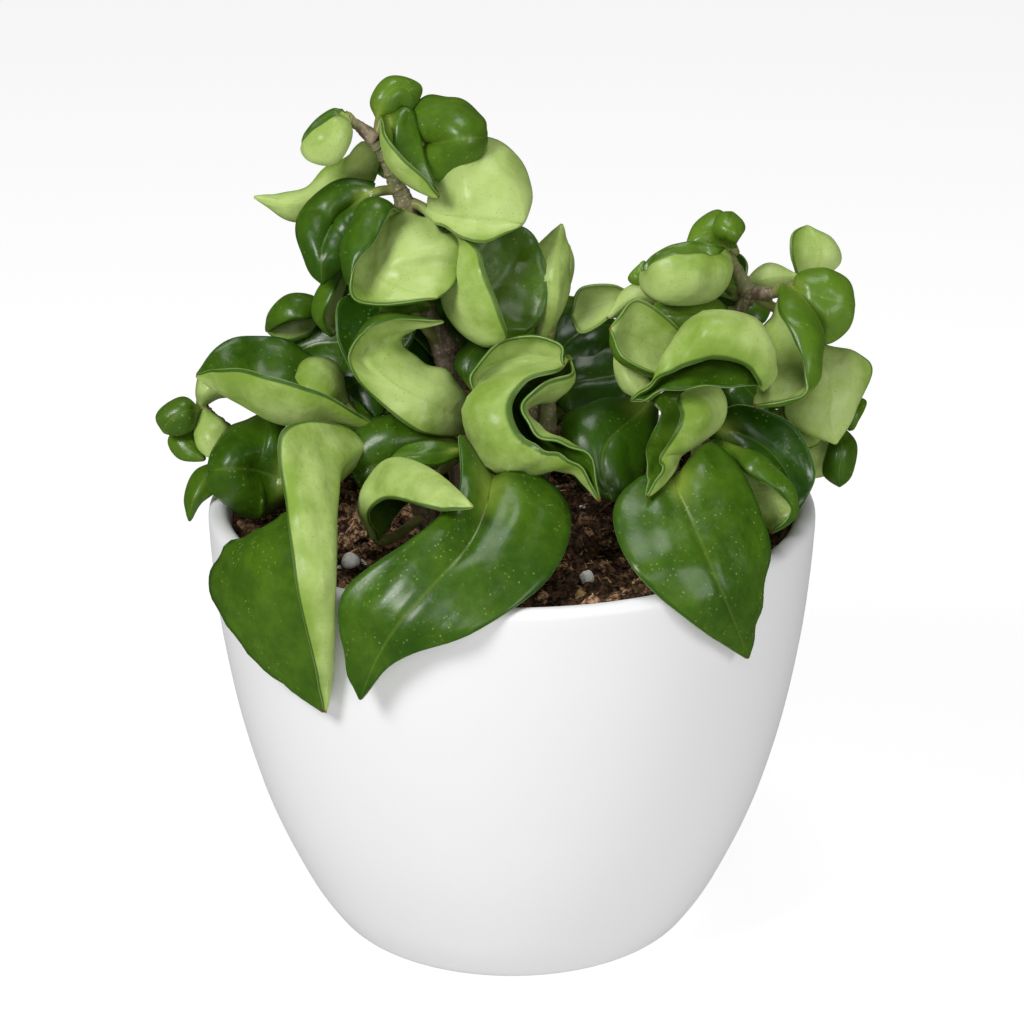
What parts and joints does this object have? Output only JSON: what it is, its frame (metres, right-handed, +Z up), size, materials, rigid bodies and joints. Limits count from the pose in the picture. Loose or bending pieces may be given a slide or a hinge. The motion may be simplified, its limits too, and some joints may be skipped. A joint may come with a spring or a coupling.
{
  "type": "potted hindu rope plant",
  "caption": "Small compact hindu rope plant with cupped, curled, waxy leaves on short vines, growing over the rim of a plain round white glazed pot.",
  "frame": {"origin": "middle of the pot's flat underside, on the surface that it stands on", "axes": "+Z up the pot's axis; the plant's shown front faces -Y, and its tall vine stands at -X"},
  "size_m": [0.1637, 0.1427, 0.2003],
  "materials": {
    "leaf": null,
    "stem": "dull grey-brown bark, greener towards the tips",
    "glaze": "plain white satin glaze",
    "soil": null,
    "perlite": "dull off-white",
    "bark_chip": "dull tan"
  },
  "bodies": {
    "root": {"arm_leaf": "leaf", "back_left_shoot": "leaf", "back_middle_shoot": "leaf", "back_right_shoot": "leaf", "bark_front": "bark_chip", "bean_leaf": "leaf", "boat_leaf": "leaf", "bright_cup_leaf": "leaf", "broad_hanging_leaf": "leaf", "broad_pale_leaf": "leaf", "centre_stem": "stem", "crown_bud": "leaf", "crown_fold_leaf": "leaf", "crown_ring_leaf": "leaf", "curled_tip_leaf": "leaf", "dark_cup_leaf": "leaf", "dark_round_leaf": "leaf", "deep_leaves": "leaf", "deep_left_leaf": "leaf", "deep_right_leaf": "leaf", "draped_leaf": "leaf", "edge_shoot": "leaf", "folded_hanging_leaf": "leaf", "fork_cup_leaf": "leaf", "great_fold_leaf": "leaf", "heart_leaf": "leaf", "hood_leaf": "leaf", "hook_leaf": "leaf", "inner_cup_leaf": "leaf", "left_cup_leaf": "leaf", "left_stem": "stem", "left_tip_buds": "leaf", "lip_leaf": "leaf", "long_tip_leaf": "leaf", "low_left_stem": "stem", "low_right_stem": "stem", "low_shade_leaf": "leaf", "lower_pale_leaf": "leaf", "pale_cluster": "leaf", "pale_edge_leaf": "leaf", "perlite_front": "perlite", "perlite_left": "perlite", "pot": "glaze", "rear_right_leaves": "leaf", "right_buds": "leaf", "right_stem": "stem", "rim_cup_leaf": "leaf", "rim_side_leaf": "leaf", "round_cup_leaf": "leaf", "ruffle_side_leaf": "leaf", "ruffled_hanging_leaf": "leaf", "ruffled_leaf": "leaf", "saddle_leaf": "leaf", "scoop_leaf": "leaf", "shade_leaf": "leaf", "shell_leaf": "leaf", "soil": "soil", "tall_stem": "stem", "tucked_leaf": "leaf", "upright_leaf": "leaf"}
  },
  "joints": []
}
